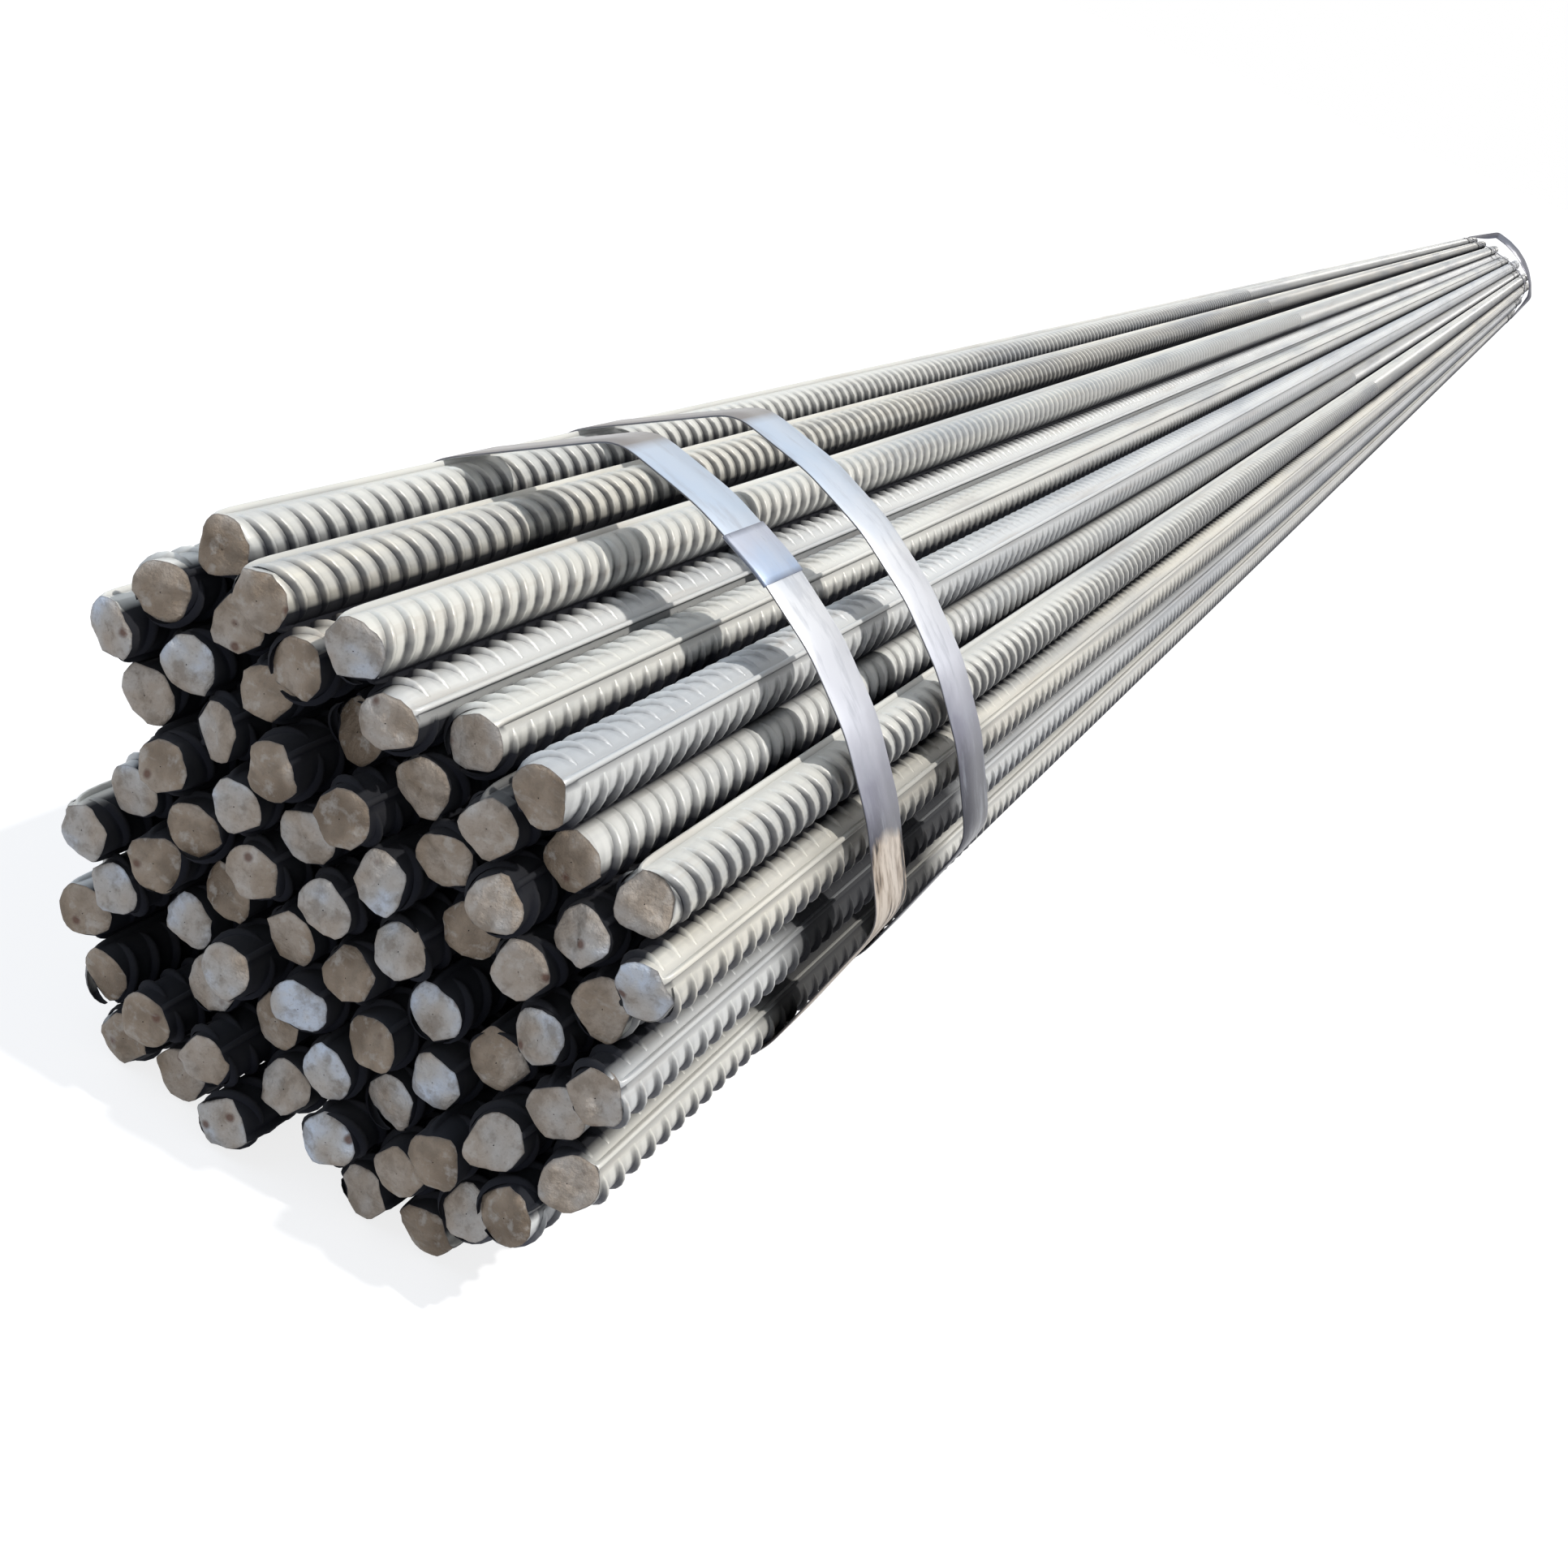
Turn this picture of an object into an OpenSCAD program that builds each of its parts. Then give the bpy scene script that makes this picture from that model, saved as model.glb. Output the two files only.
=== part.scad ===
// A strapped bundle of ribbed reinforcing bars, lying on a level floor.
// The bars run along X. The near ends, which the straps sit close to, are at the low end of X.
// Every bar is its own solid. The slanting ribs rolled round a bar are surface relief, not drawn here.

/* [Bar] */
// Diameter of the round core of a bar
core_d = 24.2; // [22:0.1:30]
// Height of the two long ribs above the core
long_rib_h = 2.5; // [1.5:0.1:3.5]
// Width of a long rib
long_rib_w = 2; // [1.5:0.1:3]
// Length that a bar is cut to
bar_length = 6000; // [3000:100:12000]
// Air left between a bar and the bar that carries it, or between a bar and its strap
seat_gap = 0.3; // [0.1:0.05:0.6]

/* [Bundle] */
// Distance from centre to centre of the bars that lie on the floor
floor_pitch = 30.25; // [29.5:0.25:32]
// Most that a bar rolls away from the second bar it could rest on, in degrees
roll_max = 3; // [0:1:6]
// How much wider the bundle is at its near end than at its far end, as a ratio
fan = 1.01; // [1:0.005:1.06]
// Most that one bar end stands out past another
end_stagger = 20; // [0:1:60]
// Number that the unevenness of the pile is drawn from
seed = 10; // [1:1:99]

/* [Straps] */
// Width of a strap
strap_w = 36; // [20:1:50]
// Thickness of a strap
strap_t = 0.9; // [0.6:0.1:1.5]
// Distance from the near end to the first strap
strap_1_at = 175; // [100:5:220]
// Distance from the near end to the second strap
strap_2_at = 290; // [260:5:800]
// Distance from the far end to the third strap, which has no slack
strap_3_from_end = 350; // [250:10:900]
// Distance from the far end to the last strap
strap_4_from_end = 170; // [100:5:220]
// How far the first strap stands above the top bars
strap_1_lift = 40; // [0:1:50]
// How far the second strap stands above the top bars
strap_2_lift = 39; // [0:1:50]
// How far the last strap stands above the top bars
strap_4_lift = 42; // [0:1:50]
// How far the top corner of a slack strap lies inside the top bars, from the side that faces -Y
slack_inset = 4; // [-40:1:20]
// How far a slack strap stands out at the side that faces -Y
slack_side = 20; // [0:1:30]
// Height at which it stands out, as a share of the height of the pile
slack_height = 0.62; // [0.4:0.02:0.8]
// How far a slack strap bulges between its top and its side
slack_bulge = 28; // [0:1:40]

/* [Hidden] */
near_x = -bar_length / 2;
far_x = bar_length / 2;
core_r = core_d / 2;
rib_r = core_r + long_rib_h;
strap_r = rib_r + seat_gap;

// Distance between a bar and the bar that carries it, where one of them has its long rib in between
seat_d = core_r + rib_r + seat_gap;

// Height of the centres of the bars on the floor, which lie on the straps
floor_z = strap_t + seat_gap + core_r;

// Each row of bars from the floor up, as the place in the row below of the bar at the -Y side of its
// first bar, and the number of bars. A place of -1 is just outside the row below.
ROWS = [[0, 7], [-1, 8], [0, 8], [-1, 8], [0, 8], [-1, 8], [0, 8], [-1, 8], [0, 8], [1, 6], [2, 3]];

// Places where a bar is missing and the pile has a hollow, as a row and a place in that row
HOLLOWS = [[0, 0], [0, 3], [1, 0], [2, 6], [5, 2], [6, 7]];

// A bar's place is [y, z, the angle of its long ribs], seen along X with Y to the left.
function is_hollow(j, i) = len([for (h = HOLLOWS) if (h[0] == j && h[1] == i) h]) > 0;
function has_bar(row, j, i) = i >= 0 && i < len(row) && !is_hollow(j, i);

// A number from 0 to 1 that belongs to one bar
function uneven(j, i, use) = rands(0, 1, 1, seed + use * 1000 + j * 31 + i * 7)[0];

// Direction from one point to another
function direction(a, b) = atan2(b[1] - a[1], b[0] - a[0]);
function along(p, angle, d) = [p[0] + d * cos(angle), p[1] + d * sin(angle)];

// Steepness of the line from a bar to one that rests evenly on it and on its neighbour
even_angle = acos(floor_pitch / 2 / seat_d);

// Least angle between two long ribs of neighbouring bars, seen from one of them, at which they miss
// each other
rib_miss = asin((long_rib_w + seat_gap) / (core_r + seat_gap));

// The wanted direction, or one turned to the given side that misses the long ribs of the bar below
function past_rib(wanted, rib, side) =
    let (off = ((wanted - rib + 90) % 180 + 180) % 180 - 90)
    abs(off) >= rib_miss ? wanted : wanted + side * rib_miss - off;

// Direction from the bar that carries it to a bar that also touches a second one
function even_seat(own, other, steeper) =
    let (apart = norm([other[0] - own[0], other[1] - own[1]]))
    direction(own, other) + steeper * acos(min(apart / 2 / seat_d, 1));

// A bar seated on the one that carries it, with its own long ribs in line with that bar
function seated(carrier, angle, side) =
    let (clear_angle = past_rib(angle, carrier[2], side))
    concat(along(carrier, clear_angle, seat_d), [clear_angle]);

// A bar laid on the row below. Rows take turns in which side carries them, so that few long ribs meet.
// A bar beside a hollow has one bar to rest on, and sinks towards the hollow.
function laid(below, j, i, right) =
    let (
        left_carries = j % 2 == 1,
        own = left_carries ? right + 1 : right,
        other = left_carries ? right : right + 1,
        steeper = left_carries ? -1 : 1,
        own_there = has_bar(below, j - 1, own),
        other_there = has_bar(below, j - 1, other),
        lone_angle = 90 - steeper * (90 - even_angle),
        roll = steeper * roll_max * uneven(j, i, 1)
    )
    own_there && other_there ?
        seated(below[own], even_seat(below[own], below[other], steeper) + roll, steeper)
    : own_there ? seated(below[own], lone_angle, -steeper)
    : seated(below[other], 180 - lone_angle, steeper);

function floor_row() = [for (i = [0 : ROWS[0][1] - 1]) [i * floor_pitch, floor_z, 0]];
function next_row(below, j) =
    [for (i = [0 : ROWS[j][1] - 1]) is_hollow(j, i) ? [] : laid(below, j, i, ROWS[j][0] + i)];
function pile(rows) =
    let (done = len(rows))
    done == len(ROWS) ? rows : pile(concat(rows, [next_row(rows[done - 1], done)]));

PILE = pile([floor_row()]);

// All the bars that are there, as [row, place in the row, y, z, rib angle]
BARS = [
    for (j = [0 : len(PILE) - 1], i = [0 : len(PILE[j]) - 1])
        if (has_bar(PILE[j], j, i)) concat([j, i], PILE[j][i])
];

// How far each bar is pushed along the bundle
function push(b) = end_stagger * (uneven(b[0], b[1], 2) - 0.5);
PUSHES = [for (b = BARS) push(b)];
push_mid = (min(PUSHES) + max(PUSHES)) / 2;
function near_end(b) = near_x + push(b) - push_mid;

// The bars draw together evenly from the near end to the far end, and those on the floor stay level
pile_mid = (min([for (b = BARS) b[2]]) + max([for (b = BARS) b[2]])) / 2;
function spread(x) = 1 + (fan - 1) * (0.5 - x / bar_length);
function bar_at(b, x) =
    [pile_mid + (b[2] - pile_mid) * spread(x), floor_z + (b[3] - floor_z) * spread(x)];

// Straps, as [x, lift]. One without lift has no slack.
STRAPS = [
    [near_x + strap_1_at, strap_1_lift],
    [near_x + strap_2_at, strap_2_lift],
    [far_x - strap_3_from_end, 0],
    [far_x - strap_4_from_end, strap_4_lift],
];

// What a strap is pulled round, at a distance of strap_r: the bars, and the bow of its slack.
// The points of the bars on the floor are raised, so that the strap passes just under those bars.
function bar_points(x) =
    [for (b = BARS) bar_at(b, x) + [0, b[0] == 0 ? strap_r - core_r - seat_gap : 0]];

// A bow from one point to another that bulges to the side of -Y
BOW = [0 : 1 / 6 : 1.001];
function bow(from, to, bulge) =
    let (
        chord = to - from,
        outward = [chord[1], -chord[0]] / norm(chord)
    )
    [for (t = BOW) from + chord * t + outward * bulge * 4 * t * (1 - t)];

function slack_points(s) =
    let (
        pts = bar_points(s[0]),
        top = max([for (p = pts) p[1]]),
        top_ys = [for (p = pts) if (p[1] > top - core_r) p[0]],
        side = min([for (p = pts) p[0]]),
        from = [min(top_ys) + slack_inset, top + s[1]],
        to = [side - slack_side, floor_z + (top - floor_z) * slack_height]
    )
    s[1] == 0 ? [] : bow(from, to, slack_bulge);

function strap_points(s) = concat(bar_points(s[0]), slack_points(s));

// The middle of the whole bundle from side to side, which the straps set
STRAP_YS = [for (s = STRAPS, p = strap_points(s)) p[0]];
mid_y = (min(STRAP_YS) + max(STRAP_YS)) / 2;

// Turn a shape drawn in X and Y, and extruded along Z, to face along the bundle
module facing_along() rotate([90, 0, 90]) children();

module bar_section() {
    circle(d = core_d);
    square([2 * rib_r, long_rib_w], center = true);
}

// One bar, a straight length of its section between its two ends
module bar(b) {
    x = near_end(b);
    from = bar_at(b, near_x);
    to = bar_at(b, far_x);
    side_tilt = atan((to[0] - from[0]) / bar_length);
    up_tilt = atan((to[1] - from[1]) / bar_length);
    translate([x, from[0] - mid_y, from[1]])
    rotate([0, -up_tilt, side_tilt])
    facing_along()
    rotate(b[4])
    linear_extrude(bar_length) bar_section();
}

module bars_row(j) {
    color(j % 2 == 0 ? "lightslategray" : "darkgray")
    for (b = BARS) if (b[0] == j) bar(b);
}

// The area that a strap goes round, out to a distance r from the bars
module strapped_area(s, r) hull() for (p = strap_points(s)) translate(p) circle(r, $fn = 72);

// One strap, a closed loop of flat steel pulled round the bars
module strap(s) {
    color("gainsboro")
    translate([s[0] - strap_w / 2, -mid_y, 0])
    facing_along()
    linear_extrude(strap_w)
    difference() {
        strapped_area(s, strap_r + strap_t);
        strapped_area(s, strap_r);
    }
}

module bars_row_1() bars_row(0);
module bars_row_2() bars_row(1);
module bars_row_3() bars_row(2);
module bars_row_4() bars_row(3);
module bars_row_5() bars_row(4);
module bars_row_6() bars_row(5);
module bars_row_7() bars_row(6);
module bars_row_8() bars_row(7);
module bars_row_9() bars_row(8);
module bars_row_10() bars_row(9);
module bars_row_11() bars_row(10);
module strap_1() strap(STRAPS[0]);
module strap_2() strap(STRAPS[1]);
module strap_3() strap(STRAPS[2]);
module strap_4() strap(STRAPS[3]);

bars_row_1();
bars_row_2();
bars_row_3();
bars_row_4();
bars_row_5();
bars_row_6();
bars_row_7();
bars_row_8();
bars_row_9();
bars_row_10();
bars_row_11();
strap_1();
strap_2();
strap_3();
strap_4();
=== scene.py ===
# A strapped bundle of ribbed reinforcing bars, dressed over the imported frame.
# Lengths are in metres. The bars run along X, and the near ends are at the low end of X.
import math

import bmesh
import bpy
import numpy as np
from mathutils import Matrix, Vector
from mathutils.geometry import convex_hull_2d


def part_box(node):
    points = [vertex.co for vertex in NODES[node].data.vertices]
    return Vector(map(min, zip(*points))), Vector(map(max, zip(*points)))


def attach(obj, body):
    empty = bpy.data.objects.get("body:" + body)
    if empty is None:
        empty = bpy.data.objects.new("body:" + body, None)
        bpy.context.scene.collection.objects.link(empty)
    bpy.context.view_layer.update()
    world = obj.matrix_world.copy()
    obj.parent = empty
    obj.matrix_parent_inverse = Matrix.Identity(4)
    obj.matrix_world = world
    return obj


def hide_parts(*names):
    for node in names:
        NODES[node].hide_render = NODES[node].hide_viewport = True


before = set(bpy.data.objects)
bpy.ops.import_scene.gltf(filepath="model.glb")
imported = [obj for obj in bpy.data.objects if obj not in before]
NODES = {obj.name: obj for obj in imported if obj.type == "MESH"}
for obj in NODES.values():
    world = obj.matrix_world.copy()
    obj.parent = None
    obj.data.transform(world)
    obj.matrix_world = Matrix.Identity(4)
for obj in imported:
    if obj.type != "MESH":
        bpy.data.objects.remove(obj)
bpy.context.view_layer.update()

MM = 0.001

# Camera, fitted to the photo: the pixel where the lines of the bars meet,
# and the turn of the view about them
PHOTO_SIDE = 1932
FOCAL_PIXELS = 2256
BARS_MEET = (2012, 247)
VIEW_TURN = 29.3
CAMERA_AT = (-3.512, -0.274, 0.515)
SENSOR = 36

# A 25 mm bar, and the ribs that are rolled round it
CORE_R = 12.1 * MM
LONG_RIB_FOOT = 1.4 * MM
LONG_RIB_TOP = 0.7 * MM
RIB_PITCH = 12.5 * MM
RIB_HEIGHT = 2.4 * MM
RIB_FOOT = 4.6 * MM
RIB_LEAN = 20
RIB_ENDS = 16
RIB_SINK = 0.08 * MM
RIB_END_CLEARANCE = 2 * MM

# Ribs by their distance from the near end: how far this kind goes, its steps round the bar, and its
# profile along the bar, as shares of half the foot and of the height, with the painted shade at each
# point
RIB_KINDS = [
    (0.45, 10, [(-1, 0, 1), (-0.5, 0.85, 0.8), (0, 1, 0.05), (0.5, 0.85, 0), (1, 0, 0.35)]),
    (2.0, 6, [(-1, 0, 1), (-0.35, 1, 0.35), (0.35, 1, 0), (1, 0, 0.25)]),
    (9.0, 5, [(-1, 0, 1), (0, 1, 0.3), (1, 0, 0.3)]),
]

# Where a bar's side is open to less than this share, only the ribs close to its two ends are made.
# The floor closes the directions that meet it within the last length.
OPEN_ENOUGH = 0.2
HIDDEN_RIBS = 0.08
FLOOR_SHADE = 0.06

# The fan of lines that feels for other bars, in degrees, and how far off those bars may be
FEEL_TURN = 60
FEEL_LINES = 9
FEEL_REACH = 0.12

# The section of a bar: steps of each arc of its core, and the rounding of its long ribs as places
# below the top and widths
ARC_STEPS = 12
RIB_SHOULDER = (0.5 * MM, 1.35 * LONG_RIB_TOP)
RIB_CREST = (0.1 * MM, 0.6 * LONG_RIB_TOP)
# Painted shade at the foot of each long rib, where it meets the core
CORNER_SHADE = 0.9

# A sheared end: rings of points behind its rim and across its face, how far along the bar it is
# squashed, and how its rim is rounded over
END_STEPS = np.array([0, 0.7, 1.8, 3.6, 6.5, 11, 18]) * MM
FACE_SHARES = np.array([1, 0.95, 0.84, 0.66, 0.45, 0.22, 0.02])
SQUASH_REACH = 5 * MM
RIM_DROP = 1.5 * MM
RIM_ROUNDING = ([0, 0.45, 0.66, 0.84, 0.95, 1], [0, 0.04, 0.13, 0.34, 0.66, 1])

# A strap: its thickness, the spacing of the points along it, how often they are evened out, and the
# points of its section that lie at its edges
STRAP_T = 0.9 * MM
STRAP_STEP = 3 * MM
STRAP_SMOOTHING = 6
EDGE_ROUND = 0.3 * MM
STRAP_EDGES = [0, 3, 4, 7]

# The seal of the first strap
SEALED_STRAP = "strap_1"
SEAL_AT_Y = -0.036
SEAL_LENGTH = 27 * MM
SEAL_WRAP = 1.0 * MM
SEAL_T = 0.5 * MM
SEAL_ROUND = 0.5 * MM

# The slack strap whose bow has turned over towards the near end: the gap to the bars where that
# starts, how far its near edge drops for each metre more of gap, and the most that it drops
LEANING_STRAP = "strap_4"
LEAN_FROM = 5 * MM
LEAN_SHARE = 0.6
LEAN_MOST = 16 * MM
LEAN_SMOOTHING = 30

# Painted shadow of the straps, with some dirt: the heights between which it fades in downwards, and
# how far from the middle of the bundle it begins, is full, fades and ends
STRAP_SHADE_TOP = (0.220, 0.170)
STRAP_SHADE_REACH = (2.67, 2.71, 2.900, 2.935)

# Places along the bundle between which the rust of the first strap sets in
PAST_FIRST_STRAP = (-2.76, -2.78)

# Edges are hard where faces meet at more than this angle in degrees
SHARP_ANGLE = 50

# Each bar draws from a source of its own, numbered up from here
BAR_SEED = 1000


def camera_axes():
    """Right, down and forward of the camera in the bundle's frame."""
    middle = PHOTO_SIDE / 2
    along = np.array([BARS_MEET[0] - middle, BARS_MEET[1] - middle, FOCAL_PIXELS])
    along /= np.linalg.norm(along)
    across = np.cross(along, [0, 1, 0])
    across /= np.linalg.norm(across)
    upright = np.cross(across, along)
    turn = math.radians(VIEW_TURN)
    left = math.cos(turn) * across - math.sin(turn) * upright
    down = math.cos(turn) * upright + math.sin(turn) * across
    return np.array([along, left, -down]).T


def add_camera():
    """The camera that took the photo."""
    right, down, forward = (Vector(axis) for axis in camera_axes())
    data = bpy.data.cameras.new("camera")
    data.sensor_width = SENSOR
    data.lens = FOCAL_PIXELS / PHOTO_SIDE * SENSOR
    data.clip_start = 0.01
    data.clip_end = 100
    camera = bpy.data.objects.new("camera", data)
    turned = Matrix((right, -down, -forward)).transposed().to_4x4()
    camera.matrix_world = Matrix.Translation(CAMERA_AT) @ turned
    bpy.context.scene.collection.objects.link(camera)
    bpy.context.scene.camera = camera


class Nodes:
    """A short way to write a shader's node tree."""

    def __init__(self, tree):
        self.tree = tree
        tree.nodes.clear()

    def add(self, kind, inputs=None, **settings):
        """A node of this kind, with each input linked if it is given a socket, or else set."""
        node = self.tree.nodes.new(kind)
        for name, value in settings.items():
            setattr(node, name, value)
        for key, value in (inputs or {}).items():
            if isinstance(value, bpy.types.NodeSocket):
                self.tree.links.new(value, node.inputs[key])
            else:
                node.inputs[key].default_value = value
        return node

    def math(self, operation, a, b=0.0, c=0.0):
        return self.add("ShaderNodeMath", {0: a, 1: b, 2: c}, operation=operation).outputs[0]

    def noise(self, where, scale, detail=3.0, roughness=0.5, stretch=(1, 1, 1)):
        placed = self.add("ShaderNodeMapping", {"Vector": where, "Scale": stretch}).outputs[0]
        inputs = {"Vector": placed, "Scale": scale, "Detail": detail, "Roughness": roughness}
        return self.add("ShaderNodeTexNoise", inputs).outputs["Fac"]

    def span(self, value, low, high, to_low=0.0, to_high=1.0):
        """Maps low to to_low and high to to_high, and stays between them."""
        ends = {"From Min": low, "From Max": high, "To Min": to_low, "To Max": to_high}
        return self.add("ShaderNodeMapRange", {"Value": value, **ends}, clamp=True).outputs[0]

    def mix(self, amount, a, b):
        """The colour between a and b."""
        return self.add("ShaderNodeMix", {0: amount, 6: a, 7: b}, data_type="RGBA").outputs[2]

    def ramp(self, value, stops):
        """The colour at a value, between stops that each have a place and a colour."""
        node = self.add("ShaderNodeValToRGB", {"Fac": value})
        band = node.color_ramp
        while len(band.elements) < len(stops):
            band.elements.new(0.5)
        for element, (at, colour) in zip(band.elements, stops):
            element.position = at
            element.color = (*colour, 1)
        return node.outputs["Color"]

    def bump(self, height, strength=1.0):
        """The normal of a surface with a relief, whose height is in metres."""
        inputs = {"Strength": strength, "Distance": 1.0, "Height": height}
        return self.add("ShaderNodeBump", inputs).outputs[0]

    def finish(self, inputs):
        """The material's shader, with the given values on its own sockets."""
        shader = self.add("ShaderNodeBsdfPrincipled", inputs)
        self.add("ShaderNodeOutputMaterial", {"Surface": shader.outputs[0]})


def new_material(name):
    made = bpy.data.materials.new(name)
    made.use_nodes = True
    return made, Nodes(made.node_tree)


def bar_look(n):
    """The three values that each point carries: 1 at the foot of a rib, where shade is painted, or on
    an edge, how far the surface is open to the outside of the pile, and the tone of the bar or of its
    end."""
    read = n.add("ShaderNodeAttribute", attribute_name="bar_look")
    return n.add("ShaderNodeSeparateXYZ", {0: read.outputs["Vector"]}).outputs


def painted_rib_shadow(n):
    """How much painted shadow of the ribs lies on the core, on one side of each rib, from 0 to 1."""
    read = n.add("ShaderNodeAttribute", attribute_name="rib_place")
    turns, presence, _ = n.add("ShaderNodeSeparateXYZ", {0: read.outputs["Vector"]}).outputs
    ahead = n.math("SUBTRACT", 0.5, n.math("FRACT", turns))
    rib_shadow = n.span(n.math("ABSOLUTE", ahead), 0.40, 0.27)
    rib_shadow = n.math("MULTIPLY", rib_shadow, n.span(ahead, -0.02, 0.02, 0.3, 1))
    return n.math("MULTIPLY", rib_shadow, presence)


def bar_material():
    """Hot-rolled steel, silvery with a warm tint, with painted shade at the foot of the ribs, on the
    undersides, off the crest, by the straps and within the pile."""
    made, n = new_material("bar_steel")
    where = n.add("ShaderNodeTexCoord").outputs["Object"]
    along, _, height_up = n.add("ShaderNodeSeparateXYZ", {0: where}).outputs
    facing = n.add("ShaderNodeNewGeometry").outputs["Normal"]
    _, left, up = n.add("ShaderNodeSeparateXYZ", {0: facing}).outputs
    corner_shade, outside, tone = bar_look(n)
    # Painted shade at the foot and on the flanks of the ribs, strongest on sides that face down and
    # -Y, and near the ends
    corner_shade = n.math("MAXIMUM", corner_shade, painted_rib_shadow(n))
    corner_shade = n.math("MULTIPLY", corner_shade, n.span(up, 0.88, 0.40, 0.25, 1))
    corner_shade = n.math("MULTIPLY", corner_shade, n.span(left, -0.15, 0.55, 1, 0.35))
    corner_shade = n.math("MULTIPLY", corner_shade, n.span(n.math("ABSOLUTE", along), 1.6, 2.8, 0.5, 0.95))
    patches = n.noise(where, 40, 4, 0.6, (0.08, 1, 1))
    grain = n.noise(where, 900, 3, 0.6, (0.5, 1, 1))
    streaks = n.noise(where, 150, 3, 0.55, (0.05, 1, 1))
    steel = n.ramp(tone, [
        (0.0, (0.70, 0.71, 0.71)), (0.3, (0.77, 0.76, 0.71)),
        (0.75, (0.79, 0.76, 0.68)), (1.0, (0.71, 0.66, 0.59))])
    scaled = n.mix(n.span(patches, 0.50, 0.66, 0, 0.5), steel, (0.36, 0.385, 0.42, 1))
    bright = n.mix(n.span(patches, 0.46, 0.34, 0, 0.5), scaled, (0.83, 0.83, 0.79, 1))
    warm = n.mix(n.span(streaks, 0.56, 0.74, 0, 0.35), bright, (0.44, 0.37, 0.30, 1))
    # Painted shade on the sides below the crest, growing away from the near end, and a darker grey
    # towards the far end
    off_crest_shade = n.math("MULTIPLY", n.span(along, -2.8, -1.6, 0, 0.38), n.span(up, 0.97, 0.70, 0.1, 1))
    off_crest_shade = n.math("MAXIMUM", off_crest_shade, n.span(along, 1.0, 2.9, 0, 0.45))
    shaded_off_crest = n.mix(off_crest_shade, warm, (0.33, 0.335, 0.375, 1))
    cornered = n.mix(corner_shade, shaded_off_crest, (0.040, 0.042, 0.052, 1))
    # Painted shade on the sides that face down, more on the bars low by the floor
    turned = n.math("SUBTRACT", up, n.span(along, -2.95, -1.2, -0.10, 0.10))
    turned = n.math("SUBTRACT", turned, n.span(height_up, 0.10, 0.03, 0, 0.5))
    underside_shade = n.mix(n.span(turned, 0.18, -0.58, 0, 0.9), cornered, (0.036, 0.040, 0.062, 1))
    # Painted shadow of the straps on the bars, near black
    strap_shade = strap_shadow_and_dirt(n, along, height_up, left, patches)
    strap_shaded = n.mix(strap_shade, underside_shade, (0.006, 0.006, 0.009, 1))
    # Painted shade within the pile, where other bars close the surface in; it also makes it rough and
    # less metallic
    pile_shade = n.span(n.math("ADD", outside, n.math("MULTIPLY", patches, 0.2)), 0.72, 0.38)
    dark = n.mix(n.math("MULTIPLY", pile_shade, 0.98), strap_shaded, (0.004, 0.005, 0.010, 1))
    dull = n.math("MAXIMUM", pile_shade, strap_shade)
    rough = n.math("MAXIMUM", n.span(grain, 0.35, 0.65, 0.34, 0.48), n.span(dull, 0, 1, 0, 0.85))
    metal = n.span(dull, 0, 1, 0.15, 0.0)
    height = n.math("MULTIPLY", grain, 0.0001)
    n.finish({
        "Base Color": dark, "Metallic": metal, "Roughness": rough, "Normal": n.bump(height),
        "Specular IOR Level": 0.2})
    return made


def strap_shadow_and_dirt(n, along, height_up, left, patches):
    """Painted shadow of the straps on the bars, with some dirt, low on the sides, from 0 to 0.92. Most
    of it is at the near end, on the side that faces -Y. The lower it is, the closer to the middle of
    the bundle it lies."""
    from_middle = n.math("MULTIPLY_ADD", patches, 0.03, n.math("ABSOLUTE", along))
    from_middle = n.math("ADD", from_middle, n.span(height_up, 0.20, 0.04, 0.015, 0.075))
    low = n.span(n.math("MULTIPLY_ADD", patches, 0.05, height_up), *STRAP_SHADE_TOP)
    begins, full, fades, ends = STRAP_SHADE_REACH
    beside = n.math("MULTIPLY", n.span(from_middle, begins, full), n.span(from_middle, ends, fades))
    worst = n.span(left, 0.3, -0.1, 0.35, 0.92)
    worst = n.math("MULTIPLY", worst, n.span(along, -2.5, -2.0, 1, 0.4))
    return n.math("MULTIPLY", n.math("MULTIPLY", low, beside), worst)


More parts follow.
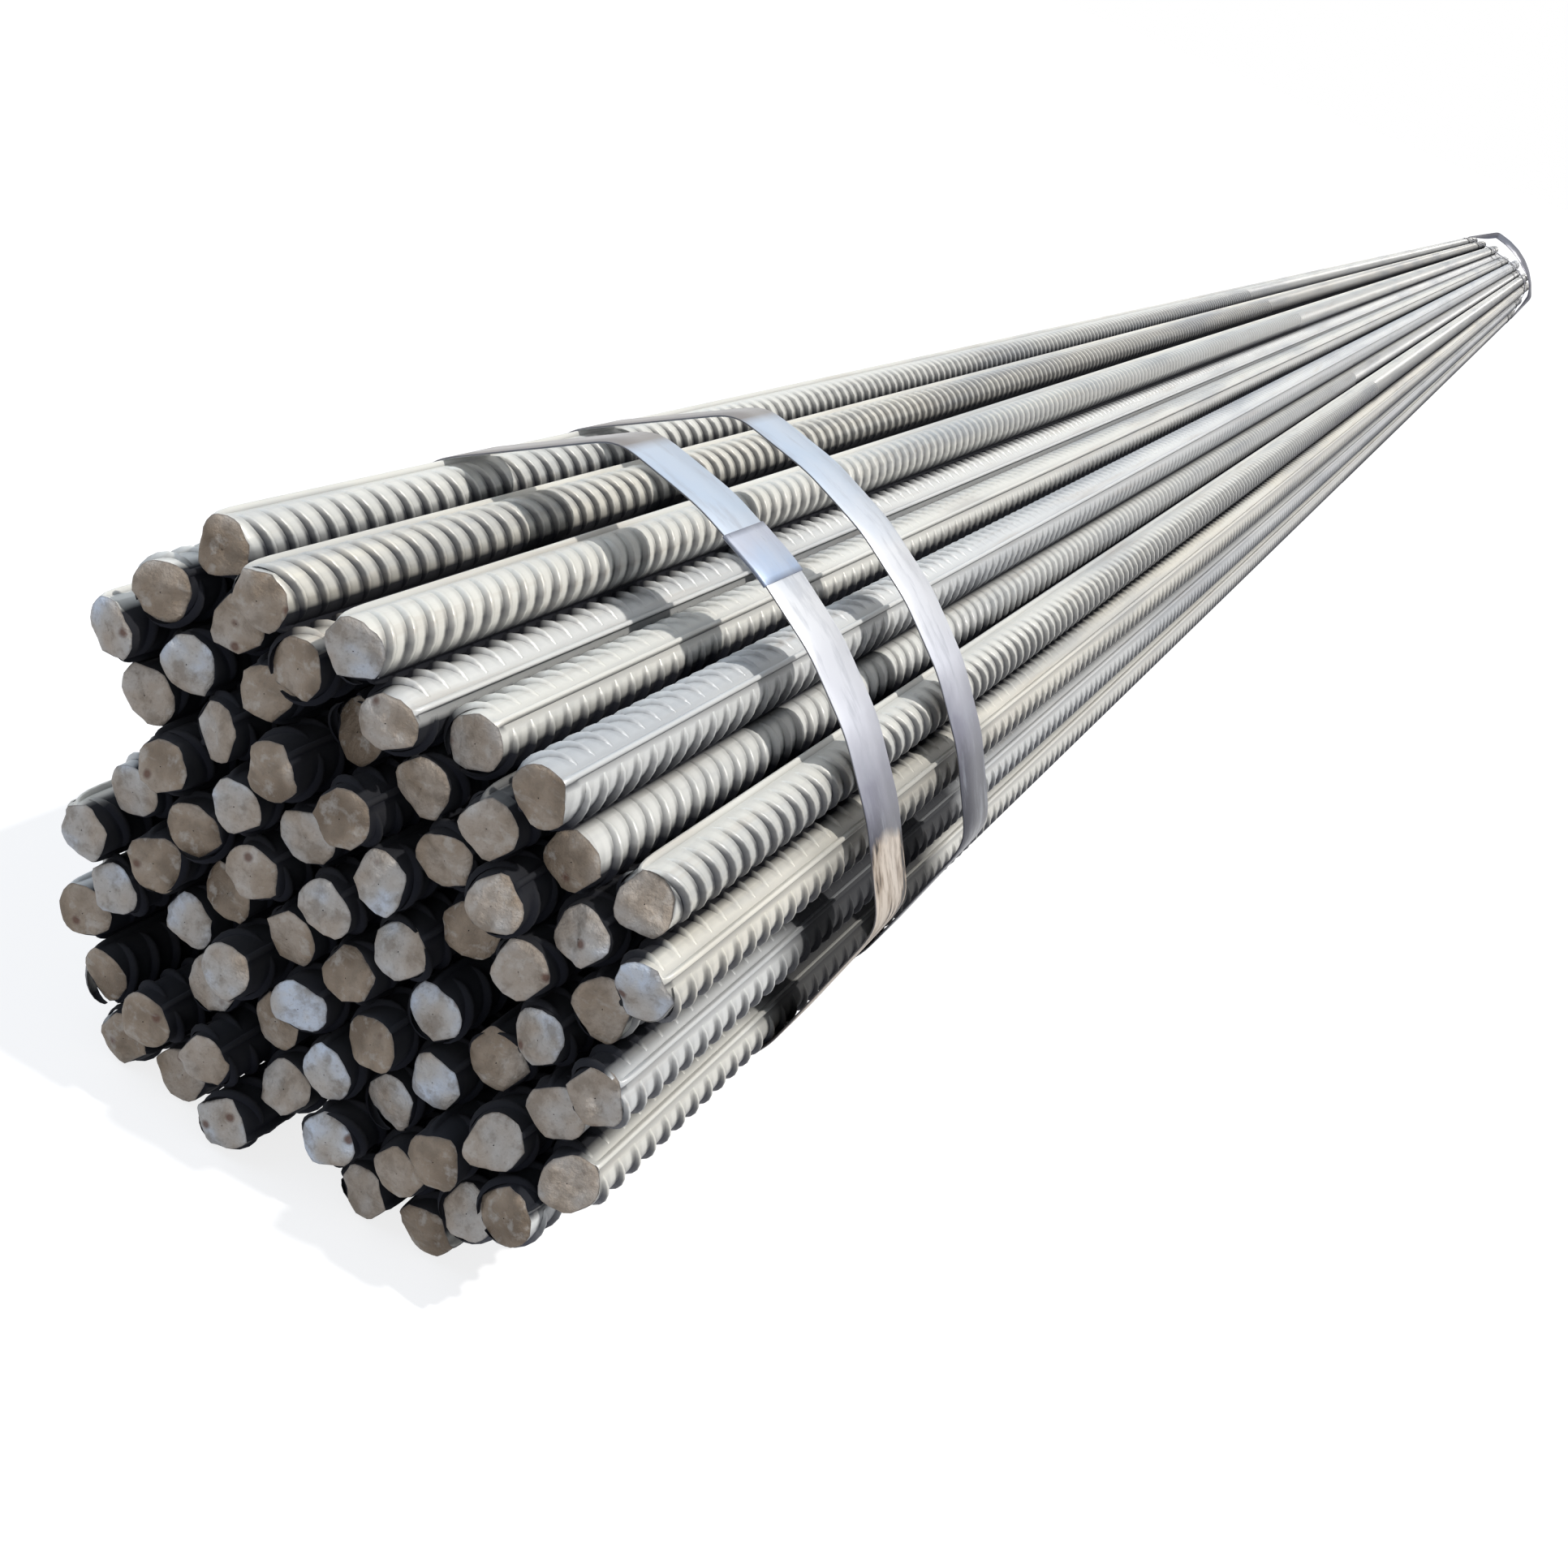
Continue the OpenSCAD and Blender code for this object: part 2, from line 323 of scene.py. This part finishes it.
def end_material():
    """A sheared face: torn brown-grey steel, bluish in places and brown in others, with rust pits."""
    made, n = new_material("sheared_end")
    where = n.add("ShaderNodeTexCoord").outputs["Object"]
    rim, _, end_tone = bar_look(n)
    halves = n.noise(where, 48, 2, 0.5)
    blotches = n.noise(where, 120, 4, 0.6)
    grain = n.noise(where, 650, 4, 0.65)
    drag = n.noise(where, 240, 3, 0.6, (1, 0.3, 1))
    pits = n.add("ShaderNodeTexVoronoi", {"Vector": where, "Scale": 58.0}).outputs["Distance"]
    shifted = n.math("MULTIPLY", n.math("SUBTRACT", halves, 0.5), 1.3)
    mixed = n.math("ADD", n.math("MULTIPLY_ADD", end_tone, 0.8, 0.1), shifted)
    torn = n.ramp(mixed, [
        (0.05, (0.15, 0.11, 0.075)), (0.28, (0.30, 0.235, 0.175)), (0.55, (0.42, 0.36, 0.305)),
        (0.78, (0.48, 0.46, 0.44)), (1.0, (0.60, 0.66, 0.76))])
    dark = n.mix(n.span(blotches, 0.50, 0.64, 0, 0.55), torn, (0.17, 0.135, 0.10, 1))
    pale = n.mix(n.span(blotches, 0.44, 0.34, 0, 0.35), dark, (0.62, 0.60, 0.57, 1))
    speckled = n.mix(n.span(grain, 0.56, 0.70, 0, 0.35), pale, (0.15, 0.12, 0.10, 1))
    rust = n.mix(n.span(pits, 0.15, 0.07, 0, 0.85), speckled, (0.085, 0.030, 0.016, 1))
    scraped = n.mix(n.span(drag, 0.60, 0.74, 0, 0.3), rust, (0.62, 0.59, 0.55, 1))
    rimmed = n.mix(n.math("MULTIPLY", rim, 0.6), scraped, (0.09, 0.08, 0.075, 1))
    height = n.math("ADD", n.math("MULTIPLY", blotches, 0.0022), n.math("MULTIPLY", grain, 0.0005))
    bumped = n.bump(height, 0.9)
    n.finish({"Base Color": rimmed, "Metallic": 0.1, "Roughness": 0.6, "Normal": bumped})
    return made


def strap_material():
    """Blued steel strap: blue on top, partly blued steel and partly a painted sky reflection, scuffed
    and pale down the side as a painted highlight, painted shade low down, brown where it faces +Y,
    rusty low on the first strap, and darker in the far half."""
    made, n = new_material("strap_steel")
    where = n.add("ShaderNodeTexCoord").outputs["Object"]
    along, _, height_up = n.add("ShaderNodeSeparateXYZ", {0: where}).outputs
    facing = n.add("ShaderNodeNewGeometry").outputs["Normal"]
    left = n.add("ShaderNodeSeparateXYZ", {0: facing}).outputs[1]
    edge = bar_look(n)[0]
    clouds = n.noise(where, 24, 4, 0.6)
    grain = n.noise(where, 1200, 2, 0.6)
    scuffs = n.noise(where, 130, 4, 0.65, (1, 0.25, 0.25))
    wavy_height = n.math("MULTIPLY_ADD", n.math("SUBTRACT", clouds, 0.5), 0.03, height_up)
    # Colour by height up the strap paints light: shade low down, a highlight pale down the side, and a
    # sky reflection in the blue on top
    steel = n.ramp(n.span(wavy_height, 0.16, 0.29), [
        (0.0, (0.06, 0.06, 0.075)), (0.17, (0.10, 0.10, 0.125)), (0.30, (0.27, 0.27, 0.33)),
        (0.50, (0.68, 0.69, 0.76)), (0.74, (0.80, 0.81, 0.84)), (0.84, (0.62, 0.67, 0.75)),
        (0.93, (0.50, 0.585, 0.70)), (1.0, (0.54, 0.60, 0.69))])
    scuffed = n.mix(n.span(scuffs, 0.52, 0.66, 0, 0.4), steel, (0.36, 0.38, 0.43, 1))
    above_floor = n.span(height_up, 0.02, 0.08)
    first = n.span(along, *PAST_FIRST_STRAP)
    rusty = n.math("MULTIPLY", first, above_floor)
    rusty = n.math("MULTIPLY", n.span(wavy_height, 0.182, 0.176), rusty)
    rust = n.ramp(scuffs, [
        (0.38, (0.035, 0.028, 0.024)), (0.45, (0.36, 0.29, 0.23)), (0.58, (0.68, 0.60, 0.52))])
    coloured = n.mix(n.math("MULTIPLY", rusty, 0.95), scuffed, rust)
    brown = n.mix(n.span(left, -0.16, 0.02, 0, 0.85), coloured, (0.23, 0.195, 0.165, 1))
    blued = n.mix(n.span(along, 0, 0.1, 0, 0.85), brown, (0.035, 0.035, 0.06, 1))
    edged = n.mix(n.math("MULTIPLY", edge, 0.85), blued, (0.06, 0.065, 0.085, 1))
    rough = n.span(n.math("ADD", clouds, n.math("MULTIPLY", rusty, 0.4)), 0.3, 1.0, 0.28, 0.6)
    bumped = n.bump(n.math("MULTIPLY", n.math("ADD", grain, scuffs), 0.0001), 0.5)
    n.finish({"Base Color": edged, "Metallic": 0.3, "Roughness": rough, "Normal": bumped})
    return made


def seal_material():
    """The seal of the first strap, scuffed to a pale violet grey at its upper end and blue below."""
    made, n = new_material("seal_steel")
    where = n.add("ShaderNodeTexCoord").outputs["Object"]
    height_up = n.add("ShaderNodeSeparateXYZ", {0: where}).outputs[2]
    edge = bar_look(n)[0]
    clouds = n.noise(where, 60, 3, 0.6)
    scuffs = n.noise(where, 180, 4, 0.65, (1, 0.25, 0.25))
    uneven = n.math("MULTIPLY", n.math("SUBTRACT", clouds, 0.5), 0.5)
    mixed = n.math("ADD", n.span(height_up, 0.258, 0.276), uneven)
    steel = n.ramp(mixed, [
        (0.2, (0.34, 0.46, 0.68)), (0.5, (0.46, 0.54, 0.68)), (0.8, (0.50, 0.53, 0.62))])
    scuffed = n.mix(n.span(scuffs, 0.54, 0.68, 0, 0.4), steel, (0.42, 0.43, 0.50, 1))
    edged = n.mix(n.math("MULTIPLY", edge, 0.8), scuffed, (0.10, 0.11, 0.15, 1))
    rough = n.span(scuffs, 0.3, 0.7, 0.26, 0.5)
    bumped = n.bump(n.math("MULTIPLY", scuffs, 0.0002), 0.5)
    n.finish({"Base Color": edged, "Metallic": 0.3, "Roughness": rough, "Normal": bumped})
    return made


class Shape:
    """Collects sheets of points, each with its material and its values, and makes one mesh of them."""

    def __init__(self):
        self.points = []
        self.faces = []
        self.slots = []
        self.looks = []
        self.places = []
        self.count = 0

    def sheets(self, points, slot=0, look=(0, 0, 0), place=(0, 0, 0), closed=False):
        """Adds faces between the rows of points in each sheet. The rows may close on themselves."""
        number, rows, columns = points.shape[:3]
        index = np.arange(number * rows * columns).reshape(number, rows, columns) + self.count
        own = index if closed else index[..., :-1]
        beside = np.roll(index, -1, axis=2) if closed else index[..., 1:]
        faces = np.stack([own[:, :-1], beside[:, :-1], beside[:, 1:], own[:, 1:]], axis=-1)
        self.points.append(points.reshape(-1, 3))
        self.looks.append(np.broadcast_to(np.asarray(look, float), points.shape).reshape(-1, 3))
        self.places.append(np.broadcast_to(np.asarray(place, float), points.shape).reshape(-1, 3))
        self.faces.append(faces.reshape(-1, 4))
        self.slots.append(np.full(len(self.faces[-1]), slot))
        self.count += number * rows * columns

    def make(self, name, materials):
        """The object with all the sheets, and with hard edges where faces meet at a sharp angle."""
        points = np.concatenate(self.points)
        faces = np.concatenate(self.faces)
        mesh = bpy.data.meshes.new(name)
        mesh.vertices.add(len(points))
        mesh.vertices.foreach_set("co", points.ravel())
        mesh.loops.add(faces.size)
        mesh.loops.foreach_set("vertex_index", faces.ravel())
        mesh.polygons.add(len(faces))
        mesh.polygons.foreach_set("loop_start", np.arange(0, faces.size, 4))
        mesh.polygons.foreach_set("material_index", np.concatenate(self.slots))
        mesh.polygons.foreach_set("use_smooth", np.ones(len(faces), bool))
        mesh.update(calc_edges=True)
        for title, values in (("bar_look", self.looks), ("rib_place", self.places)):
            layer = mesh.attributes.new(title, "FLOAT_VECTOR", "POINT")
            layer.data.foreach_set("vector", np.concatenate(values).ravel())
        for material in materials:
            mesh.materials.append(material)
        mesh.set_sharp_from_angle(angle=math.radians(SHARP_ANGLE))
        made = bpy.data.objects.new(name, mesh)
        bpy.context.scene.collection.objects.link(made)
        return made


def solids_of(node):
    """The points of each loose solid in a node's mesh, in the same order on every run."""
    work = bmesh.new()
    work.from_mesh(node.data)
    bmesh.ops.remove_doubles(work, verts=work.verts, dist=1e-6)
    left = set(work.verts)
    solids = []
    while left:
        found = [left.pop()]
        for vert in found:
            for edge in vert.link_edges:
                other = edge.other_vert(vert)
                if other in left:
                    left.remove(other)
                    found.append(other)
        solids.append(np.array(sorted(tuple(vert.co) for vert in found)))
    work.free()
    return solids


def bar_end(points):
    """Centre of a bar's end, the direction of its long ribs and how far out they reach, from the
    four corners of those ribs."""
    middle = (points.min(axis=0) + points.max(axis=0)) / 2
    reach = np.linalg.norm(points - middle, axis=1)
    corners = points[np.argsort(-reach)[:4]]
    centre = corners.mean(axis=0)
    apart = np.linalg.norm(corners - corners[0], axis=1)
    pair = corners[np.argsort(apart)[1]]
    rib = (corners[0] + pair) / 2 - centre
    rib *= math.copysign(1, rib[1])
    return centre, rib / np.linalg.norm(rib), np.linalg.norm(corners[0] - centre)


class Bar:
    """One bar of the frame: where it starts and ends, and which way its long ribs face."""

    def __init__(self, node, number, points):
        middle = (points[:, 0].min() + points[:, 0].max()) / 2
        self.near, self.rib, self.rib_reach = bar_end(points[points[:, 0] < middle])
        self.far = bar_end(points[points[:, 0] > middle])[0]
        self.length = np.linalg.norm(self.far - self.near)
        self.along = (self.far - self.near) / self.length
        self.side = np.cross(self.along, self.rib)
        self.node = node
        self.chance = np.random.RandomState(BAR_SEED + number)


def bars_of_frame():
    """Every bar, from the lowest row up and from the -Y side over."""
    rows = [name for name in NODES if name.startswith("bars_row_")]
    bars = []
    for name in sorted(rows, key=lambda row: int(row.split("_")[-1])):
        solids = solids_of(NODES[name])
        for points in sorted(solids, key=lambda solid: solid[:, 1].min()):
            bars.append(Bar(name, len(bars), points))
    return bars


def facing_out(bar, angles, bars):
    """For each direction from a bar, the share of the lines fanning out from its surface that miss
    the other bars."""
    offsets = np.array([other.near[1:] - bar.near[1:] for other in bars if other is not bar])
    offsets = offsets[np.linalg.norm(offsets, axis=1) < FEEL_REACH]
    directions = np.stack([np.cos(angles), np.sin(angles)], axis=-1)
    normals = directions @ np.stack([bar.rib[1:], bar.side[1:]])
    to_other = offsets[None] - normals[:, None] * CORE_R
    turns = np.radians(np.linspace(-FEEL_TURN, FEEL_TURN, FEEL_LINES))
    open_share = np.zeros(len(angles))
    for turn in turns:
        spin = np.array([[math.cos(turn), math.sin(turn)], [-math.sin(turn), math.cos(turn)]])
        ways = normals @ spin
        ahead = (to_other * ways[:, None]).sum(axis=-1)
        aside = np.abs(to_other[..., 0] * ways[:, None, 1] - to_other[..., 1] * ways[:, None, 0])
        meets_floor = bar.near[2] + FLOOR_SHADE * ways[:, 1] < 0
        open_share += ~(((ahead > 0) & (aside < CORE_R)).any(axis=1) | meets_floor)
    return open_share / len(turns)


def section(rib_reach):
    """Points round a bar's section, as two long ribs and the core's arcs between them, and the
    painted shade of each point at the foot of a long rib."""
    foot = math.asin(LONG_RIB_FOOT / CORE_R)
    rib = [
        (CORE_R * math.cos(foot), -LONG_RIB_FOOT, CORNER_SHADE),
        (rib_reach - RIB_SHOULDER[0], -RIB_SHOULDER[1], 0),
        (rib_reach - RIB_CREST[0], -RIB_CREST[1], 0),
        (rib_reach - RIB_CREST[0], RIB_CREST[1], 0),
        (rib_reach - RIB_SHOULDER[0], RIB_SHOULDER[1], 0),
    ]
    angles = np.linspace(foot, math.pi - foot, ARC_STEPS + 1)[:-1]
    arc = [
        (CORE_R * math.cos(angle), CORE_R * math.sin(angle), CORNER_SHADE * (angle == foot))
        for angle in angles]
    half = np.array(rib + arc)
    whole = np.concatenate([half, half * (-1, -1, 1)])
    return whole[:, :2], whole[:, 2]


def rim_radius(chance, angles):
    """Radius of a sheared end at each angle: a core pressed flat in places, with the long ribs
    smeared into soft lobes."""
    radius = 1 + 0.020 * np.sin(3 * angles + chance.uniform(0, 6))
    radius += chance.uniform(0.05, 0.12) * np.exp(-(np.sin(angles) / 0.30) ** 2)
    for _ in range(chance.randint(4, 8)):
        facing = np.cos(angles - chance.uniform(0, 2 * math.pi))
        chord = chance.uniform(0.80, 0.96)
        radius = np.minimum(radius, np.where(facing > 0.2, chord / np.maximum(facing, 0.2), 9))
    return CORE_R * radius


def end_sink(chance):
    """A rule for how far the sheared face lies behind a flat one, for points across the bar."""
    tilt = chance.uniform(0, 2 * math.pi)
    ridge = chance.uniform(0, 2 * math.pi)
    slope = chance.uniform(0.03, 0.22)
    hollow = chance.uniform(-7, 5)
    step = chance.uniform(0, 1.3) * MM
    wave = chance.uniform(0, 6, 2)

    def sink(offsets):
        a, b = offsets[..., 0], offsets[..., 1]
        across = a * math.cos(tilt) + b * math.sin(tilt)
        other = a * math.cos(ridge) + b * math.sin(ridge)
        rolling = 0.4 * MM * np.sin(a * 700 + wave[0]) * np.sin(b * 640 + wave[1])
        return slope * across + hollow * (a * a + b * b) + step * np.tanh(other / (2 * MM)) + rolling
    return sink


class End:
    """One sheared end of a bar: its squashed outline and the depth of its face."""

    def __init__(self, chance, outline, angles):
        self.scale = rim_radius(chance, angles) / np.linalg.norm(outline, axis=1)
        self.rim = outline * self.scale[:, None]
        self.sink = end_sink(chance)
        self.least = self.sink(self.rim[None] * FACE_SHARES[:, None, None]).min()
        self.tone = chance.uniform(0, 1)

    def rim_sink(self):
        return self.sink(self.rim) - self.least + RIM_DROP

    def face(self):
        """Points of the face across the bar, and the depth of each."""
        across = self.rim[None] * FACE_SHARES[:, None, None]
        drop = np.interp(FACE_SHARES, *RIM_ROUNDING)[:, None] * RIM_DROP
        return across, self.sink(across) - self.least + drop


def placed(bar, distance, across):
    """Points at distances along a bar and places across it."""
    sideways = across[..., :1] * bar.rib + across[..., 1:] * bar.side
    return bar.near + distance[..., None] * bar.along + sideways


def crescent(angles):
    """How high a slanting rib stands at each angle round its side, from 0 to 1."""
    half = math.pi / 2
    return 1 - np.minimum(1, (np.abs(angles) - half) / (half - math.radians(RIB_ENDS))) ** 2


def add_body(shape, bar, bars, tone, first, lean):
    """The core with its two long ribs, pressed in towards its sheared ends."""
    outline, corner_shade = section(bar.rib_reach)
    angles = np.arctan2(outline[:, 1], outline[:, 0])
    near, far = End(bar.chance, outline, angles), End(bar.chance, outline, angles)
    rings = np.concatenate([END_STEPS, bar.length - END_STEPS[::-1]])
    from_near = np.exp(-rings / SQUASH_REACH)[:, None]
    from_far = np.exp((rings - bar.length) / SQUASH_REACH)[:, None]
    scale = 1 + (near.scale - 1) * from_near + (far.scale - 1) * from_far
    distance = rings[:, None] + near.rim_sink() * from_near - far.rim_sink() * from_far
    look = np.empty((len(rings), len(outline), 3))
    look[..., 0] = corner_shade
    look[..., 1] = facing_out(bar, angles, bars)
    look[..., 2] = tone
    place = np.zeros(look.shape)
    place[..., 0] = (distance - first + lean * outline[:, 0]) / RIB_PITCH + 0.5
    place[..., 1] = np.maximum(crescent(angles), 0) ** 0.5
    shape.sheets(placed(bar, distance, outline * scale[..., None])[None], 0, look, place, closed=True)
    for end, back in ((near, False), (far, True)):
        across, depth = end.face()
        points = placed(bar, bar.length - depth if back else depth, across)
        look = np.zeros(points.shape)
        look[0, :, 0] = 1
        look[..., 2] = end.tone
        order = slice(None) if back else slice(None, None, -1)
        shape.sheets(points[order][None], 1, look[order], closed=True)


def add_ribs(shape, bar, bars, tone, first, lean):
    """The slanting ribs, a crescent on each side for every pitch along the bar."""
    centres = np.arange(first, bar.length - 0.5 * RIB_PITCH, RIB_PITCH)
    for flip in (1, -1):
        start = 0
        for reach, steps, profile in RIB_KINDS:
            sweep = np.radians(np.linspace(RIB_ENDS, 180 - RIB_ENDS, steps + 1))
            outside = facing_out(bar, flip * sweep, bars)
            here = centres[(centres >= start) & (centres < reach)]
            if outside.max() < OPEN_ENOUGH:
                here = here[(here < HIDDEN_RIBS) | (here > bar.length - HIDDEN_RIBS)]
            start = reach
            if len(here):
                add_rib_run(shape, bar, here, flip, lean, sweep, profile, outside, tone)


def add_rib_run(shape, bar, centres, flip, lean, sweep, profile, outside, tone):
    """Ribs of one kind on one side of a bar, as one sheet for each."""
    width, height, flank_shade = np.array(profile).T[..., None]
    stands = crescent(sweep)
    radius = CORE_R - RIB_SINK + (RIB_HEIGHT * stands + RIB_SINK) * height
    across = np.stack([radius * np.cos(sweep), flip * radius * np.sin(sweep)], axis=-1)
    shift = RIB_FOOT / 2 * (0.4 + 0.6 * stands) * width - lean * CORE_R * np.cos(sweep)
    last = bar.length - RIB_END_CLEARANCE
    distance = np.clip(centres[:, None, None] + shift, RIB_END_CLEARANCE, last)
    points = placed(bar, distance, across[None])
    points[..., 2] = np.maximum(points[..., 2], 0)
    look = np.empty(points.shape)
    # Painted shade on the flanks of the ribs, most on the near flank
    look[..., 0] = flank_shade * np.maximum(stands, 0) ** 0.5
    look[..., 1] = outside
    look[..., 2] = tone
    order = slice(None) if flip > 0 else slice(None, None, -1)
    shape.sheets(points[:, order], 0, look[:, order])


def add_bars(bars):
    """One piece for each row of bars. Each bar has its own tone, and its slanting ribs their own
    start and hand."""
    materials = [bar_material(), end_material()]
    for name in sorted({bar.node for bar in bars}):
        shape = Shape()
        for bar in bars:
            if bar.node == name:
                tone = bar.chance.uniform(0, 1)
                lean = math.tan(math.radians(RIB_LEAN)) * bar.chance.choice([-1, 1])
                first = bar.chance.uniform(0.5, 1.2) * RIB_PITCH
                add_body(shape, bar, bars, tone, first, lean)
                add_ribs(shape, bar, bars, tone, first, lean)
        piece = shape.make(name + "_ribbed", materials)
        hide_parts(name)
        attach(piece, "root")


def smoothed(values):
    """Values round a closed loop, each evened out a little with its two neighbours."""
    return (np.roll(values, -1, axis=0) + 2 * values + np.roll(values, 1, axis=0)) / 4


def strap_line(node):
    """The outer line of a strap, as evenly spaced points in Y and Z, and the outward direction at
    each."""
    at = np.array([vert.co for vert in node.data.vertices])[:, 1:]
    loop = at[convex_hull_2d([tuple(point) for point in at])]
    loop = np.concatenate([loop, loop[:1]])
    length = np.concatenate([[0], np.cumsum(np.linalg.norm(np.diff(loop, axis=0), axis=1))])
    steps = np.linspace(0, length[-1], int(length[-1] / STRAP_STEP) + 1)[:-1]
    line = np.stack([np.interp(steps, length, loop[:, k]) for k in (0, 1)], axis=-1)
    for _ in range(STRAP_SMOOTHING):
        line = smoothed(line)
    ahead = np.roll(line, -1, axis=0) - np.roll(line, 1, axis=0)
    ahead /= np.linalg.norm(ahead, axis=1)[:, None]
    outward = np.stack([ahead[:, 1], -ahead[:, 0]], axis=-1)
    if ((line - line.mean(axis=0)) * outward).sum() < 0:
        outward = -outward
    return line, outward


def flat_section(half_width, thickness, edge):
    """A strap's section as points across the strap and out from its inner face."""
    flat = half_width - edge
    return np.array([
        (-half_width, edge), (-flat, 0), (flat, 0), (half_width, edge),
        (half_width, thickness - edge), (flat, thickness),
        (-flat, thickness), (-half_width, thickness - edge)])


def bow_drop(line, bars):
    """How far the near edge of a slack strap has dropped at each point, where it stands off the
    bars."""
    centres = np.array([bar.far[1:] for bar in bars])
    gap = np.linalg.norm(line[:, None] - centres, axis=2).min(axis=1) - CORE_R
    drop = np.clip((gap - LEAN_FROM) * LEAN_SHARE, 0, LEAN_MOST)
    for _ in range(LEAN_SMOOTHING):
        drop = smoothed(drop)
    return drop


def swept(line, outward, centre_x, drift, section, closed, drop=0.0):
    """Points of a flat section carried along a line, with each station shifted along X by the drift,
    and turned about its far edge until its near edge has dropped."""
    inner = line - outward * STRAP_T
    half_width = section[:, 0].max()
    turn = np.arcsin(drop / (2 * half_width) + np.zeros(len(line)))[:, None]
    from_far = half_width - section[:, 0]
    cos, sin = np.cos(turn), np.sin(turn)
    far_edge = centre_x + drift[:, None] + half_width
    rows = np.empty((len(line), len(section), 3))
    rows[..., 0] = far_edge - from_far * cos - section[:, 1] * sin
    rise = section[:, 1] * cos - from_far * sin
    rows[..., 1:] = inner[:, None] + outward[:, None] * rise[..., None]
    return np.concatenate([rows, rows[:1]]) if closed else rows


def add_seal(shape, line, outward, centre_x, drift, half_width):
    """The folded seal that closes a slack strap, round the strap on its bow."""
    near = np.argsort(np.abs(line[:, 0] - SEAL_AT_Y) + 10 * (line[:, 1] < line[:, 1].mean()))[0]
    count = int(SEAL_LENGTH / STRAP_STEP)
    picked = (np.arange(count + 1) - count // 2 + near) % len(line)
    section = flat_section(half_width + SEAL_WRAP, STRAP_T + 2 * SEAL_T, SEAL_ROUND) - (0, SEAL_T)
    rows = swept(line[picked], outward[picked], centre_x, drift[picked], section, False)
    middle = rows.mean(axis=1, keepdims=True)
    capped = np.concatenate([middle[:1] + 0 * rows[:1], rows, middle[-1:] + 0 * rows[-1:]])
    look = np.zeros(capped.shape)
    look[:2, :, 0] = look[-2:, :, 0] = 1
    look[:, STRAP_EDGES, 0] = 1
    shape.sheets(capped[None], 1, look, closed=True)


def add_strap(name, materials, bars):
    """A strap of the frame with rounded edges, not quite straight, and the first one with its seal."""
    low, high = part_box(name)
    half_width = (high[0] - low[0]) / 2
    centre_x = (low[0] + high[0]) / 2
    line, outward = strap_line(NODES[name])
    chance = np.random.RandomState(len(name) * 7 + int(name[-1]))
    turn = np.linspace(0, 2 * math.pi, len(line), endpoint=False)
    drift = 0.7 * MM * np.sin(3 * turn + chance.uniform(0, 6))
    drift += 0.4 * MM * np.sin(7 * turn + chance.uniform(0, 6))
    shape = Shape()
    section = flat_section(half_width, STRAP_T, EDGE_ROUND)
    drop = bow_drop(line, bars) if name == LEANING_STRAP else 0.0
    points = swept(line, outward, centre_x, drift, section, True, drop)
    look = np.zeros(points.shape)
    look[:, STRAP_EDGES, 0] = 1
    shape.sheets(points[None], 0, look, closed=True)
    if name == SEALED_STRAP:
        add_seal(shape, line, outward, centre_x, drift, half_width)
    piece = shape.make(name + "_steel", materials)
    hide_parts(name)
    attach(piece, "root")


def add_straps(bars):
    materials = [strap_material(), seal_material()]
    for name in sorted(name for name in NODES if name.startswith("strap_")):
        add_strap(name, materials, bars)


def rays_that_see(n):
    """1 for the rays that show a surface as such, to the camera or in metal or glass."""
    light = n.add("ShaderNodeLightPath").outputs
    mirrored = n.math("MAXIMUM", light["Is Glossy Ray"], light["Is Transmission Ray"])
    return n.math("MAXIMUM", light["Is Camera Ray"], mirrored)


def add_stage():
    """The pale floor, just below the bundle, which looks white."""
    bpy.ops.mesh.primitive_plane_add(size=60, location=(0, 0, -0.0005))
    floor = bpy.context.object
    floor.name = "floor"
    made, n = new_material("floor_pale")
    plain = n.add("ShaderNodeBsdfDiffuse", {"Color": (0.32, 0.32, 0.33, 1)})
    shine = n.math("MULTIPLY", rays_that_see(n), 0.80)
    glow = n.add("ShaderNodeEmission", {"Color": (1, 1, 1, 1), "Strength": shine})
    both = n.add("ShaderNodeAddShader", {0: plain.outputs[0], 1: glow.outputs[0]})
    n.add("ShaderNodeOutputMaterial", {"Surface": both.outputs[0]})
    floor.data.materials.append(made)


def add_sun(name, towards, energy, softness, colour):
    """A lamp far away in the given direction, with its softness in degrees."""
    data = bpy.data.lights.new(name, "SUN")
    data.energy = energy
    data.angle = math.radians(softness)
    data.color = colour
    lamp = bpy.data.objects.new(name, data)
    lamp.rotation_mode = "QUATERNION"
    lamp.rotation_quaternion = Vector(towards).to_track_quat("Z", "Y")
    bpy.context.scene.collection.objects.link(lamp)


def add_light():
    """A warm sun from the right and above, weaker light from the near end, and a blue sky."""
    add_sun("key", (0.08, -0.46, 0.88), 2.65, 2, (1.0, 0.97, 0.92))
    add_sun("front", (-1.0, -0.1, 0.25), 0.65, 30, (0.97, 0.98, 1.0))
    add_sun("sky", (-0.1, 0.7, 0.70), 0.85, 60, (0.62, 0.79, 1.0))
    world = bpy.data.worlds.new("world")
    bpy.context.scene.world = world
    world.use_nodes = True
    n = Nodes(world.node_tree)
    seen = rays_that_see(n)
    colour = n.mix(seen, (0.80, 0.88, 1.0, 1), (1, 1, 1, 1))
    strength = n.span(seen, 0, 1, 0.25, 1)
    back = n.add("ShaderNodeBackground", {"Color": colour, "Strength": strength})
    n.add("ShaderNodeOutputWorld", {"Surface": back.outputs[0]})


add_camera()
all_bars = bars_of_frame()
add_bars(all_bars)
add_straps(all_bars)
add_stage()
add_light()
bpy.context.scene.view_settings.view_transform = "Standard"
